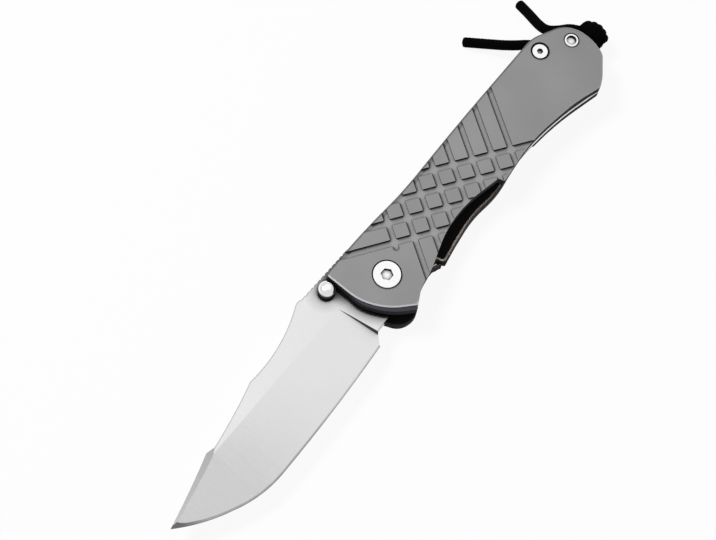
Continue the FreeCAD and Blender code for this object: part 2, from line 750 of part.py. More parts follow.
def pocket_clip():
    half = CLIP_WIDTH / 2
    tip = CLIP_TIP_WIDTH / 2
    bar = clip_side().extrude(Vector(0, CLIP_WIDTH, 0))
    bar.translate(Vector(0, STANDOFF_Y - half, 0))
    near = STANDOFF_X + CLIP_TAIL
    far = STANDOFF_X - CLIP_LENGTH
    plan = [
        [(far + tip, STANDOFF_Y + tip)],
        [(far, STANDOFF_Y), (far + tip, STANDOFF_Y - tip)],
        [(near - half, STANDOFF_Y - half)],
        [(near, STANDOFF_Y), (near - half, STANDOFF_Y + half)],
    ]
    cutter = plate(plan, -OUTER - OVERRUN - CLIP_ROOM, -INNER)
    hole = rod(SCREW_SHANK + SEAT_FIT, -OUTER - OVERRUN, -INNER, STANDOFF_X, STANDOFF_Y)
    return bar.common(cutter).cut(hole)


def clip_axis():
    """Point on the line about which the clip bends, at the end of its tab."""
    return Vector(STANDOFF_X - CLIP_TAB, STANDOFF_Y, -OUTER - CLIP_THICKNESS / 2)


def cord_tube(name, route):
    """Round cord along straight runs joined by arcs as large as the runs allow."""
    points = [Vector(TAIL, 0, 0) + Vector(*point) for point in route]
    edges = []
    radii = []
    here = points[0]
    for before, corner, after in zip(points, points[1:], points[2:]):
        arrive = (corner - before).normalize()
        leave = (after - corner).normalize()
        turn = arrive.getAngle(leave)
        setback = CORD_BEND_SHARE * min((corner - before).Length, (after - corner).Length)
        radius = setback / math.tan(turn / 2)
        radii.append(round(radius, 1))
        start = corner - arrive * setback
        end = corner + leave * setback
        middle = corner + (leave - arrive).normalize() * (radius / math.cos(turn / 2) - radius)
        edges.append(Part.LineSegment(here, start).toShape())
        edges.append(Part.Arc(start, middle, end).toShape())
        here = end
    edges.append(Part.LineSegment(here, points[-1]).toShape())
    path = Part.Wire(edges)
    ring = Part.Wire(Part.makeCircle(CORD / 2, points[0], points[1] - points[0]))
    tube = path.makePipeShell([ring], True, False)
    share = tube.Volume / (math.pi * CORD * CORD / 4 * path.Length)
    print(name, "length", round(path.Length, 1), "radii", radii, "volume share", round(share, 4))
    return tube


def lanyard_knot():
    """Plain outer form of the knot, a spindle across the butt."""
    ball = Part.makeSphere(1)
    shape = FreeCAD.Matrix()
    shape.scale(KNOT_RADIUS, KNOT_HALF_LENGTH, KNOT_RADIUS)
    x, y, z = KNOT_CENTRE
    return moved(ball.transformGeometry(shape), TAIL + x, y, z)


def pieces():
    """Every piece by name, round the pivot."""
    lanyard_front = lanyard_screw()
    return {
        "front_scale": front_scale(),
        "rear_scale": rear_scale(),
        "lock_bar": lock_bar(),
        "detent_ball": detent_ball(),
        "blade": blade(),
        "front_thumb_stud": front_thumb_stud(),
        "rear_thumb_stud": rear_thumb_stud(),
        "front_stud_ring": stud_ring(),
        "rear_stud_ring": stud_ring().mirror(Vector(0, 0, 0), Vector(0, 0, 1)),
        "front_washer": washer(),
        "rear_washer": flipped(washer()),
        "pivot_bushing": pivot_bushing(),
        "pivot_barrel": pivot_barrel(),
        "pivot_screw": pivot_screw(),
        "standoff": post(STANDOFF_RADIUS, STANDOFF_X, STANDOFF_Y),
        "standoff_screw": standoff_screw(),
        "lanyard_post": post(LANYARD_RADIUS, LANYARD_X, LANYARD_Y),
        "lanyard_screw_front": moved(lanyard_front, LANYARD_X, LANYARD_Y, 0),
        "lanyard_screw_rear": moved(flipped(lanyard_front), LANYARD_X, LANYARD_Y, 0),
        "pocket_clip": pocket_clip(),
        "clip_screw": clip_screw(),
        "lanyard_long_strand": cord_tube("lanyard_long_strand", LONG_ROUTE),
        "lanyard_short_strand": cord_tube("lanyard_short_strand", SHORT_ROUTE),
        "lanyard_knot": lanyard_knot(),
    }


def standing_shift(solids):
    """Move that sets the knife, without its cord, on z = 0 with the origin under its middle."""
    rigid = [solid for name, solid in solids.items() if name not in CORD_NAMES]
    box = Part.makeCompound(rigid).optimalBoundingBox()
    return Vector(-box.Center.x, -box.Center.y, -box.ZMin)


os.makedirs("parts", exist_ok=True)
SOLIDS = pieces()
SHIFT = standing_shift(SOLIDS)
for piece_name, piece in SOLIDS.items():
    piece.translated(SHIFT).exportStep(os.path.join("parts", piece_name + ".step"))
print("pivot", SHIFT, "lock line", flex_axis() + SHIFT, "lock angle", lock_angle())
print("clip line", clip_axis() + SHIFT)
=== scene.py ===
import json
import math

import bmesh
import bpy
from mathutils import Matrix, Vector


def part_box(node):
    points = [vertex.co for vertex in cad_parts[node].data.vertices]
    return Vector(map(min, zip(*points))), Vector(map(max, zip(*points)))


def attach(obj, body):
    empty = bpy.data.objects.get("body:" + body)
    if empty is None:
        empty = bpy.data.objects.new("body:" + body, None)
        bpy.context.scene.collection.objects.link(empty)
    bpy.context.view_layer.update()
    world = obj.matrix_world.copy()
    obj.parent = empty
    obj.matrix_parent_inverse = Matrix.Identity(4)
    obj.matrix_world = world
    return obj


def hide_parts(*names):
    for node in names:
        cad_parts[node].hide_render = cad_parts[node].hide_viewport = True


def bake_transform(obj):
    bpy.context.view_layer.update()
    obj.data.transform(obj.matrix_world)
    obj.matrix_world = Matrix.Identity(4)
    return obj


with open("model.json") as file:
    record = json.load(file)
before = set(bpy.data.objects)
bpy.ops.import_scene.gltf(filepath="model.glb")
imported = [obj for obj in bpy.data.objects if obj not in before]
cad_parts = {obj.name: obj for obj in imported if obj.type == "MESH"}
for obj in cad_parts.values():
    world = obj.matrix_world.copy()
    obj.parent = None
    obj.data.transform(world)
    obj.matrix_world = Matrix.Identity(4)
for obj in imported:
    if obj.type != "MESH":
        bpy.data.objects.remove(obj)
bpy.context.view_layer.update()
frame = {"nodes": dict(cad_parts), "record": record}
nodes = frame["nodes"]
scene = bpy.context.scene
scene.view_settings.view_transform = "Standard"

# Lengths are in metres. Places on the handle are measured from the pivot, which is the blade's
# hinge, and the cord's route from the butt, as on the drawing of the part.
JOINTS = {joint["name"]: joint for joint in frame["record"]["behaviour"]["joints"]}
PIVOT = Vector(JOINTS["blade_fold"]["pos_m"])
TAIL = 0.1085  # pivot to the butt
BUTT = PIVOT + Vector((TAIL, 0, 0))

# Camera, fitted to the photograph's 716 x 540 frame: its place from the pivot and its turn
CAMERA_OFFSET = Vector((-0.1600, -0.0746, 0.5044))
CAMERA_TURN = (19.083, -3.757, -51.305)
CAMERA_LENS = 85.0
CAMERA_NEAR = 0.01
CAMERA_FAR = 20

# Lanyard: the route of its one cord from the long tail, round the post, through the knot, to the
# short tail, as points from the butt
CORD_DIAMETER = 0.0035
LONG_ROUTE = [
    (-0.0226, 0.0340, -0.0074),
    (-0.0189, 0.0274, -0.0058),
    (-0.0156, 0.0198, -0.0023),
    (-0.0115, 0.0139, 0.0001),
    (-0.0093, 0.0084, 0.0),
    (-0.0089, 0.0024, 0.0001),
    (-0.0063, -0.0018, 0.0),
    (-0.0017, -0.0020, -0.0002),
    (0.0023, -0.0023, -0.0009),
]
KNOT_ROUTE = [(0.0050, -0.0026, -0.0018), (0.0064, 0.0006, -0.0023), (0.0056, 0.0038, -0.0018)]
SHORT_ROUTE = [
    (0.0035, 0.0048, -0.0009),
    (0.0017, 0.0079, -0.0003),
    (-0.0016, 0.0103, 0.0),
    (-0.0039, 0.0136, -0.0008),
    (-0.0025, 0.0176, -0.0034),
    (-0.0001, 0.0229, -0.0057),
    (0.0016, 0.0283, -0.0074),
]
ROUTE_FINENESS = 16  # points of the spline's line between two control points
CORD_STEP = 0.0003  # between the rings of the cord's mesh
TUBE_SIDES = 48
END_ROUNDING = 0.5  # radii over which an end is rounded
END_SHARE = 0.35  # of the radius, left at the very end
BRAID_STRANDS = 8
BRAID_PITCH = 0.0085
BRAID_DEPTH = 0.11  # share of the cord's radius
BRAID_FULLNESS = 0.6  # power that makes a strand's back flatter
BRAID_LEVEL = 0.8  # height of a strand's back
BRAID_WEAVE = 0.2  # how much higher it is over a strand, and lower under one

# Knot: wraps of the cord on a line that winds round its centre
KNOT_CENTRE = Vector((0.0056, 0.0009, -0.0020))
KNOT_TURNS = 4.6
KNOT_RUN = 0.0077  # length of the wraps, between the ends of their line
KNOT_END = 0.0013  # radius of that line at its ends
KNOT_SWELL = 0.0016  # how much wider it is in the middle
KNOT_STEPS = 40
WRAP_FINENESS = 8

# Pocket clip: a leaf spring, whose arm bends just past the end of its tab
CLIP_BEND = 0.006
CLIP_CUTS = 8  # across the bend
WELD = 1e-6  # points closer than this are one
SHARP_ANGLE = math.radians(30)

# Light: the sky's level as a light and as seen in a mirror, and lamps with their place, size and
# power
SKY = 0.22
SKY_SEEN = 0.75
OVERHEAD = {"place": (0.55, 0.15, 1.1), "size": 0.9, "power": 0.64}
KEY = {"place": (-0.12, 0.45, 0.85), "size": 0.22, "power": 6.6}
FLOOR_SIZE = 3.0
FLOOR_TONE = 0.9
FLOOR_WHITE = 0.92  # share of plain white that an eye or a mirror sees in the floor


def link(obj):
    scene.collection.objects.link(obj)
    return obj


def make_camera():
    data = bpy.data.cameras.new("camera")
    data.lens = CAMERA_LENS
    data.sensor_fit = "HORIZONTAL"
    data.clip_start = CAMERA_NEAR
    data.clip_end = CAMERA_FAR
    camera = link(bpy.data.objects.new("camera", data))
    camera.location = PIVOT + CAMERA_OFFSET
    camera.rotation_euler = [math.radians(angle) for angle in CAMERA_TURN]
    scene.camera = camera


def spline_points(points, fineness, origin):
    """Points along a smooth NURBS line whose control points are given from an origin."""
    data = bpy.data.curves.new("line", "CURVE")
    data.dimensions = "3D"
    data.resolution_u = fineness
    spline = data.splines.new("NURBS")
    spline.points.add(len(points) - 1)
    for place, point in zip(spline.points, points):
        place.co = (*(origin + Vector(point)), 1)
    spline.order_u = 3
    spline.use_endpoint_u = True
    obj = link(bpy.data.objects.new("line", data))
    bpy.context.view_layer.update()
    mesh = bpy.data.meshes.new_from_object(obj)
    line = [vertex.co.copy() for vertex in mesh.vertices]
    bpy.data.objects.remove(obj)
    bpy.data.meshes.remove(mesh)
    bpy.data.curves.remove(data)
    return line


def line_length(line):
    return sum((b - a).length for a, b in zip(line, line[1:]))


def resampled(line, step):
    """The same line at even steps."""
    out = [line[0]]
    left = step
    for a, b in zip(line, line[1:]):
        span = (b - a).length
        done = 0
        while span - done >= left:
            done += left
            out.append(a.lerp(b, done / span))
            left = step
        left -= span - done
    if (out[-1] - line[-1]).length > step / 2:
        out.append(line[-1])
    else:
        out[-1] = line[-1]
    return out


def braid(turn, along):
    """Height, from 0 to 1, of a braid's surface at an angle and a distance along it."""
    slant = BRAID_STRANDS * along / BRAID_PITCH
    first = BRAID_STRANDS * turn / math.tau + slant
    second = BRAID_STRANDS * turn / math.tau - slant
    over = math.sin(math.pi * (first + second)) * BRAID_WEAVE
    a = abs(math.sin(math.pi * first)) ** BRAID_FULLNESS
    b = abs(math.sin(math.pi * second)) ** BRAID_FULLNESS
    return max(a * (BRAID_LEVEL + over), b * (BRAID_LEVEL - over))


def end_share(from_end):
    """Share of the full radius at a distance, in radii, from an end, where the cord is melted."""
    rounding = 1 - min(1, from_end / END_ROUNDING)
    return END_SHARE + (1 - END_SHARE) * math.sqrt(1 - rounding ** 2)


def braided_tube(name, line, radius):
    """Mesh tube of braided cord along a line, with rounded ends."""
    verts = []
    faces = []
    side = None
    along = 0
    total = line_length(line)
    rings = len(line)
    for index, point in enumerate(line):
        ahead = line[min(index + 1, rings - 1)] - line[max(index - 1, 0)]
        ahead.normalize()
        if side is None:
            side = ahead.orthogonal().normalized()
        side = (side - ahead * side.dot(ahead)).normalized()
        other = ahead.cross(side)
        if index:
            along += (point - line[index - 1]).length
        reach = radius * end_share(min(along, total - along) / radius)
        for count in range(TUBE_SIDES):
            turn = math.tau * count / TUBE_SIDES
            height = 1 - BRAID_DEPTH * (1 - braid(turn, along))
            verts.append(point + (side * math.cos(turn) + other * math.sin(turn)) * reach * height)
    for ring in range(rings - 1):
        for count in range(TUBE_SIDES):
            nxt = (count + 1) % TUBE_SIDES
            a = ring * TUBE_SIDES
            b = a + TUBE_SIDES
            faces.append((a + count, a + nxt, b + nxt, b + count))
    faces.append(tuple(range(TUBE_SIDES))[::-1])
    last = (rings - 1) * TUBE_SIDES
    faces.append(tuple(last + count for count in range(TUBE_SIDES)))
    mesh = bpy.data.meshes.new(name)
    mesh.from_pydata([tuple(v) for v in verts], [], faces)
    mesh.polygons.foreach_set("use_smooth", [True] * len(mesh.polygons))
    return link(bpy.data.objects.new(name, mesh))


def knot_line():
    """Control points of the wraps, from the knot's centre. They swell towards its waist."""
    points = []
    for count in range(KNOT_STEPS + 1):
        part = count / KNOT_STEPS
        turn = math.tau * KNOT_TURNS * part
        reach = KNOT_END + KNOT_SWELL * math.sin(math.pi * part)
        points.append((reach * math.cos(turn), KNOT_RUN * (part - 0.5), reach * math.sin(turn)))
    return points


def make_cord():
    """The cord and the wraps of its knot, which take the place of their plain solids."""
    route = LONG_ROUTE + KNOT_ROUTE + SHORT_ROUTE
    line = resampled(spline_points(route, ROUTE_FINENESS, BUTT), CORD_STEP)
    cord = braided_tube("lanyard_cord", line, CORD_DIAMETER / 2)
    wraps = resampled(spline_points(knot_line(), WRAP_FINENESS, BUTT + KNOT_CENTRE), CORD_STEP)
    knot = braided_tube("lanyard_wraps", wraps, CORD_DIAMETER / 2)
    for piece in (cord, knot):
        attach(piece, "handle")
    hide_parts("lanyard_long_strand", "lanyard_short_strand")
    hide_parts("lanyard_knot")
    return [cord, knot]


def make_clip():
    """The clip with cuts across its bend, in place of its solid."""
    start = Vector(JOINTS["clip_flex"]["pos_m"])
    end = start - Vector((CLIP_BEND, 0, 0))
    shape = bmesh.new()
    shape.from_mesh(nodes["pocket_clip"].data)
    bmesh.ops.remove_doubles(shape, verts=shape.verts, dist=WELD)
    for count in range(CLIP_CUTS + 1):
        whole = shape.verts[:] + shape.edges[:] + shape.faces[:]
        place = start.lerp(end, count / CLIP_CUTS)
        bmesh.ops.bisect_plane(shape, geom=whole, dist=WELD, plane_co=place, plane_no=(1, 0, 0))
    mesh = bpy.data.meshes.new("clip_spring")
    shape.to_mesh(mesh)
    shape.free()
    mesh.polygons.foreach_set("use_smooth", [True] * len(mesh.polygons))
    mesh.set_sharp_from_angle(angle=SHARP_ANGLE)
    clip = link(bpy.data.objects.new("clip_spring", mesh))
    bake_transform(clip)
    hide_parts("pocket_clip")
    return clip


# What all materials share: the span of values in which most of a noise lies, the tilt of a wall
# as the upright part of its normal, and how finely edges and the sky are sampled
NOISE_SPAN = (0.3, 0.7)
WALL_TILT = (0.25, 0.4)
EDGE_TURN = (0.76, 0.9)  # how alike the true and the rounded normal are beside an edge
EDGE_SAMPLES = 4
FINE_EDGE_SAMPLES = 16
SKY_SAMPLES = 8
SPINE_SIDE = (0.0, 1.0, 0.0)
BELLY_SIDE = (0.0, -1.0, 0.0)


class Shader:
    """A material's nodes, made in order and joined by name."""

    def __init__(self, name, **constants):
        self.material = bpy.data.materials.new(name)
        self.material.use_nodes = True
        self.tree = self.material.node_tree
        self.surface = self.tree.nodes["Principled BSDF"]
        for socket, value in constants.items():
            self.surface.inputs[socket.replace("_", " ")].default_value = value

    def add(self, kind, inputs=None, **settings):
        node = self.tree.nodes.new("ShaderNode" + kind)
        for name, value in settings.items():
            setattr(node, name, value)
        for socket, value in (inputs or {}).items():
            self.join(value, node.inputs[socket])
        return node

    def join(self, value, socket):
        if isinstance(value, bpy.types.NodeSocket):
            self.tree.links.new(value, socket)
        else:
            socket.default_value = value

    def math(self, operation, *values):
        inputs = dict(enumerate(values))
        return self.add("Math", inputs, operation=operation).outputs[0]

    def minus(self, value):
        return self.math("MULTIPLY", value, -1.0)

    def average(self, first, second):
        return self.math("MULTIPLY", self.math("ADD", first, second), 0.5)

    def dot(self, first, second):
        both = {0: first, 1: second}
        return self.add("VectorMath", both, operation="DOT_PRODUCT").outputs["Value"]

    def place(self):
        return self.add("TexCoord").outputs["Object"]

    def noise(self, scale, detail=2.0, vector=None):
        inputs = {"Vector": vector or self.place(), "Scale": scale, "Detail": detail}
        return self.add("TexNoise", inputs).outputs["Fac"]

    def stretched(self, scale):
        """Place in the part, stretched by a factor along each axis."""
        return self.add("Mapping", {"Vector": self.place(), "Scale": scale}).outputs[0]

    def ramp(self, value, stops):
        """Colour or grey by value, from (position, colour) stops."""
        node = self.add("ValToRGB", {"Fac": value})
        elements = node.color_ramp.elements
        while len(elements) < len(stops):
            elements.new(1.0)
        for element, (position, colour) in zip(elements, stops):
            element.position = position
            element.color = rgb(colour)
        return node.outputs["Color"]

    def rise(self, value, span, top=1.0):
        """0 below a span of values and the top above it."""
        return self.ramp(value, [(span[0], 0.0), (span[1], top)])

    def fall(self, value, span):
        """1 below a span of values and 0 above it."""
        return self.ramp(value, [(span[0], 1.0), (span[1], 0.0)])

    def spread(self, noise, least, most):
        """Colours or greys between two, as a noise varies."""
        return self.ramp(noise, list(zip(NOISE_SPAN, (least, most))))

    def mix(self, share, first, second):
        node = self.add("Mix", {"Factor": share}, data_type="RGBA")
        for colour, socket in ((first, "A"), (second, "B")):
            plain = isinstance(colour, (tuple, float))
            self.join(rgb(colour) if plain else colour, node.inputs[socket])
        return node.outputs["Result"]

    def axis(self, vector, name):
        return self.add("SeparateXYZ", {"Vector": vector}).outputs[name]

    def normal(self):
        return self.add("NewGeometry").outputs["True Normal"]

    def level(self):
        """1 on level faces, up or down, and 0 on upright ones."""
        return self.math("ABSOLUTE", self.axis(self.normal(), "Z"))

    def walls(self):
        """1 on upright faces and 0 on the others."""
        return self.fall(self.level(), WALL_TILT)

    def rounded(self, reach, samples=EDGE_SAMPLES):
        """Normal as if each sharp edge were rounded."""
        return self.add("Bevel", {"Radius": reach}, samples=samples).outputs[0]

    def corner(self, reach):
        """1 beside a sharp edge, within a reach of it, and 0 elsewhere."""
        return self.fall(self.dot(self.rounded(reach), self.normal()), EDGE_TURN)

    def lean(self, reach, side, samples=EDGE_SAMPLES):
        """How far the normal leans to a side, as if each sharp edge were rounded."""
        return self.dot(self.rounded(reach, samples), side)

    def open_share(self, reach, side=None):
        """Share of the sky, within a reach, that nothing hides: lower in corners. With a side, it
        counts the sky of that side."""
        inputs = {"Distance": reach}
        if side:
            inputs["Normal"] = self.add("CombineXYZ", dict(zip("XYZ", side))).outputs[0]
        return self.add("AmbientOcclusion", inputs, samples=SKY_SAMPLES).outputs["AO"]

    def bump(self, height, strength, depth):
        inputs = {"Height": height, "Strength": strength, "Distance": depth}
        self.join(self.add("Bump", inputs).outputs[0], self.surface.inputs["Normal"])

    def set(self, socket, value):
        self.join(value, self.surface.inputs[socket])


def rgb(colour):
    """A colour or a grey level as a socket's four numbers."""
    tone = colour if isinstance(colour, tuple) else (colour,) * 3
    return (*tone, 1)


# Titanium: colours, least and most where there are two
TITANIUM_FACE = ((0.25, 0.25, 0.255), (0.335, 0.335, 0.34))
# Lighter rim along edges: wear and a painted highlight
TITANIUM_RIM_WEAR_AND_SHEEN = (0.50, 0.50, 0.505)
# Painted highlight on the bevel of the front scale's nose
TITANIUM_EDGE_HIGHLIGHT = (0.66, 0.66, 0.67)
# Painted shade on bevels that lean to the spine
TITANIUM_SPINE_EDGE_SHADE = (0.13, 0.13, 0.135)
# Painted shade on the ledge along the front scale's nose
TITANIUM_LEDGE_SHADE = (0.045, 0.045, 0.057)
# Painted shade on walls, lighter on walls that face the spine
TITANIUM_WALL_SHADE = (0.024, 0.024, 0.027)
TITANIUM_SPINE_WALL_SHADE = (0.14, 0.14, 0.143)
# Painted shade, nearly black, on the inside faces of the scales
TITANIUM_INSIDE_SHADE = (0.008, 0.007, 0.0065)
# Painted highlight on the butt's bevels and on the strip inside the rear scale's belly edge there
REAR_EDGE_HIGHLIGHT = (0.95, 0.95, 0.955)
GROOVE_FLOOR = ((0.35, 0.35, 0.355), (0.46, 0.46, 0.465))
# Painted shade and painted shadow lines in the grooves
GROOVE_SHADE = (0.010, 0.010, 0.011)
GROOVE_SHADOW_LINE = (0.085, 0.085, 0.09)
GROOVE_CROSSING = (0.345, 0.345, 0.35)
# Painted shade with a brown tint on the lock bar's bevels, and a painted highlight line inside them
LOCK_EDGE_SHADE = (0.06, 0.05, 0.045)
LOCK_LINE_HIGHLIGHT = (0.74, 0.67, 0.62)

# Titanium: the scales of its grain and of its cloudy tones, the share of metal on plain places and
# on those with painted highlights, and the roughness on plain and on dull ones
TITANIUM_GRAIN = 5200.0
TITANIUM_CLOUD = 38.0
TITANIUM_METAL = (0.2, 0.9)
TITANIUM_ROUGHNESS = (0.5, 0.9)
TITANIUM_BUMP = 0.25
TITANIUM_BUMP_DEPTH = 0.00003

# Titanium: places on the handle, and tilts, which are the upright part of the normal on bevels and
# inside faces, and its part towards the spine on the edges and walls there
LEDGE_LEVEL = PIVOT.z + 0.00565  # between the groove floors of the front scale and its ledge
GROOVE_LEVEL = PIVOT.z + 0.0060  # between the face of the front scale and its groove floors
NOSE_END = PIVOT.x - 0.0005  # end of the painted highlight on the bevel of the front scale's nose
LOCK_LINE_START = PIVOT.x + 0.012  # front end of the painted highlight line along the lock bar
BUTT_START = PIVOT.x + 0.060  # front end of the painted highlights on the bevels of the butt
BEVEL_TILT = (0.85, 0.95)
INSIDE_TILT = -0.96
SPINE_EDGE_TILT = (0.2, 0.5)
SPINE_WALL_TILT = (0.4, 0.8)

# Titanium: lines of wear, painted highlight, painted shadow and painted shade along edges, each
# with its reach from the edge, the lean of the rounded normal or the open share of the sky over
# which it comes in, and its strength
RIM_REACH = 0.0003
RIM_SHARE = 0.5
KEY_SIDE = (-0.19, 0.98, 0.0)  # side of the key lamp, along the face
KEY_SKY = (-0.15, 0.785, 0.6)  # the same, and up
FLOOR_LINE_REACH = 0.0014
FLOOR_LINE_LEAN = (0.1, 0.3)
FLOOR_LINE_SHARE = 0.8
GROOVE_SKY_REACH = 0.0018
GROOVE_SHADE_SKY = (0.66, 0.92)
GROOVE_CROSSING_SKY = (0.95, 1.0)
FALLING_SIDE = (0.56, 0.83, 0.0)  # across the falling grooves
BRINK_REACH = 0.0006
BRINK_LEAN = (0.09, 0.22)
BRINK_SHARE = 0.9
BELLY_REACH = 0.002
LOCK_LINE_LEAN = [(0.13, 0.0), (0.17, 1.0), (0.26, 1.0), (0.32, 0.0)]
BUTT_STRIP_LEAN = (0.28, 0.36)


def grooved(s, colour, tone):
    """Colour of the front scale's face with its grooves, their painted shadow lines and painted
    shade, and the ledge along its nose in painted shade.
    """
    height = s.axis(s.place(), "Z")
    # Painted shadow: a line on the groove floors beside walls on the key lamp's side, and shade where
    # the sky on that side is hidden
    line = s.rise(s.lean(FLOOR_LINE_REACH, KEY_SIDE), FLOOR_LINE_LEAN, FLOOR_LINE_SHARE)
    sky = s.open_share(GROOVE_SKY_REACH, KEY_SKY)
    floor = s.spread(tone, *GROOVE_FLOOR)
    floor = s.mix(line, floor, GROOVE_SHADOW_LINE)
    floor = s.mix(s.rise(sky, GROOVE_CROSSING_SKY), floor, GROOVE_CROSSING)
    floor = s.mix(s.fall(sky, GROOVE_SHADE_SKY), floor, GROOVE_SHADE)
    # Painted shadow line on the face along the groove edges that face the falling side
    brink_shadow = s.rise(s.lean(BRINK_REACH, FALLING_SIDE), BRINK_LEAN, BRINK_SHARE)
    colour = s.mix(brink_shadow, colour, GROOVE_SHADOW_LINE)
    colour = s.mix(s.math("LESS_THAN", height, GROOVE_LEVEL), colour, floor)
    # Painted shade on the ledge along the nose
    return s.mix(s.math("LESS_THAN", height, LEDGE_LEVEL), colour, TITANIUM_LEDGE_SHADE)


def painted_rear_glint(s, inside, highlight_zone, past_start):
    """1 on the painted highlight line inside the lock bar's belly edge, and on the painted highlight
    strip inside the rear scale's belly edge at the butt."""
    belly = s.lean(BELLY_REACH, BELLY_SIDE, FINE_EDGE_SAMPLES)
    line = s.mix(highlight_zone, s.ramp(belly, LOCK_LINE_LEAN), s.rise(belly, BUTT_STRIP_LEAN))
    return s.math("MULTIPLY", s.math("MULTIPLY", inside, line), past_start)


def titanium(name, show=0):
    """Bead-blasted metal with broken edges, painted highlights on some bevels and walls in painted
    shade. Show is 1 for the front scale, -1 for the rear scale and its lock bar, which are outside
    only on their upper or their lower side and in painted shade on the other, and 0 for a piece that
    is outside all round."""
    s = Shader(name, Specular_IOR_Level=0.15)
    grain = s.noise(TITANIUM_GRAIN, detail=3.0)
    tone = s.average(grain, s.noise(TITANIUM_CLOUD))
    up = s.axis(s.normal(), "Z")
    to_spine = s.axis(s.normal(), "Y")
    along = s.axis(s.place(), "X")
    edge = s.fall(s.level(), BEVEL_TILT)
    wall = s.walls()
    dull = wall
    colour = s.spread(tone, *TITANIUM_FACE)
    # Edges lightened as wear and as a painted highlight
    colour = s.mix(s.math("MULTIPLY", s.corner(RIM_REACH), RIM_SHARE), colour, TITANIUM_RIM_WEAR_AND_SHEEN)
    # The bevels at the front scale's nose, or at the butt, get a painted highlight
    if show == 1:
        colour = grooved(s, colour, tone)
        highlight_zone = s.math("LESS_THAN", along, NOSE_END)
    else:
        highlight_zone = s.math("GREATER_THAN", along, BUTT_START)
    # Places with a painted highlight are more metallic
    painted_highlight = s.math("MULTIPLY", edge, highlight_zone)
    plain_edge = TITANIUM_RIM_WEAR_AND_SHEEN
    if show:
        inside = s.math("LESS_THAN", s.math("MULTIPLY", up, show), INSIDE_TILT)
        # Painted shade on the inside faces
        colour = s.mix(inside, colour, TITANIUM_INSIDE_SHADE)
        if show == -1:
            past_start = s.math("GREATER_THAN", along, LOCK_LINE_START)
            # Painted shade on the rear scale's bevels, tinted brown along the lock bar
            plain_edge = s.mix(past_start, TITANIUM_WALL_SHADE, LOCK_EDGE_SHADE)
            # Painted highlights inside the belly edges of the lock bar and the butt
            painted_glint = painted_rear_glint(s, inside, highlight_zone, past_start)
            colour = s.mix(painted_glint, colour, s.mix(highlight_zone, LOCK_LINE_HIGHLIGHT, REAR_EDGE_HIGHLIGHT))
            inside = s.math("SUBTRACT", inside, painted_glint)
            painted_highlight = s.math("MAXIMUM", painted_highlight, painted_glint)
        dull = s.math("MAXIMUM", wall, inside)
    # Bevels get a painted highlight at the nose or the butt, and their plain edge colour elsewhere
    edge_colour = s.mix(highlight_zone, plain_edge, TITANIUM_EDGE_HIGHLIGHT if show == 1 else REAR_EDGE_HIGHLIGHT)
    # Painted shade on bevels that lean to the spine
    edge_colour = s.mix(s.rise(to_spine, SPINE_EDGE_TILT), edge_colour, TITANIUM_SPINE_EDGE_SHADE)
    # Walls in painted shade, lighter where they face the spine
    spine_wall = s.rise(to_spine, SPINE_WALL_TILT)
    wall_shade = s.mix(spine_wall, TITANIUM_WALL_SHADE, TITANIUM_SPINE_WALL_SHADE)
    colour = s.mix(edge, colour, edge_colour)
    s.set("Base Color", s.mix(wall, colour, wall_shade))
    s.set("Metallic", s.mix(dull, s.mix(painted_highlight, *TITANIUM_METAL), 0.0))
    s.set("Roughness", s.mix(dull, *TITANIUM_ROUGHNESS))
    s.bump(grain, TITANIUM_BUMP, TITANIUM_BUMP_DEPTH)
    return s.material


# Blade: colours, and greys of painted shade by the share of the edge's run from the tip
BLADE_FACE = ((0.74, 0.74, 0.75), (0.8, 0.8, 0.805))
# Painted shade: lines along the spine and the belly, and on the plunge
BLADE_EDGE_SHADE = (0.2, 0.2, 0.21)
BLADE_PLUNGE_SHADE = (0.12, 0.12, 0.125)
BLADE_SHADE = (0.03, 0.03, 0.033)
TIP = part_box("blade")[0][0]
EDGE_RUN = 0.08  # from the tip nearly to the heel of the cutting edge
# Greys of painted shade: on the edge bevel, darker towards the tip, and on the swedge, darker away
# from it
BEVEL_SHADE_TONES = [(0.04, 0.2), (0.12, 0.52), (0.6, 0.58), (0.8, 0.8)]
SWEDGE_SHADE_TONES = [(0.0, 0.53), (0.2, 0.45), (0.37, 0.38)]

# Blade: the scales of its grain along each axis and of its cloudy tones, the part of the normal to
# the spine, the belly or the tip on its facets, the lines of painted shade along its edges and the
# painted shade beside the handle
BLADE_GRAIN = (9000.0, 260.0, 900.0)
BLADE_CLOUD = 30.0
BLADE_ROUGHNESS = (0.14, 0.18)
SWEDGE_ROUGHNESS = 0.6
BLADE_BUMP = 0.06
FACET_TILT = (0.15, 0.2)
PLUNGE_TILT = (0.25, 0.4)
BLADE_LINE_REACH = 0.0006
SPINE_LINE_LEAN = (0.15, 0.35)
BELLY_LINE_LEAN = (0.55, 0.75)
BLADE_SKY_REACH = 0.005
BLADE_SHADE_SKY = (0.58, 0.98)
FINE_BUMP_DEPTH = 0.00002


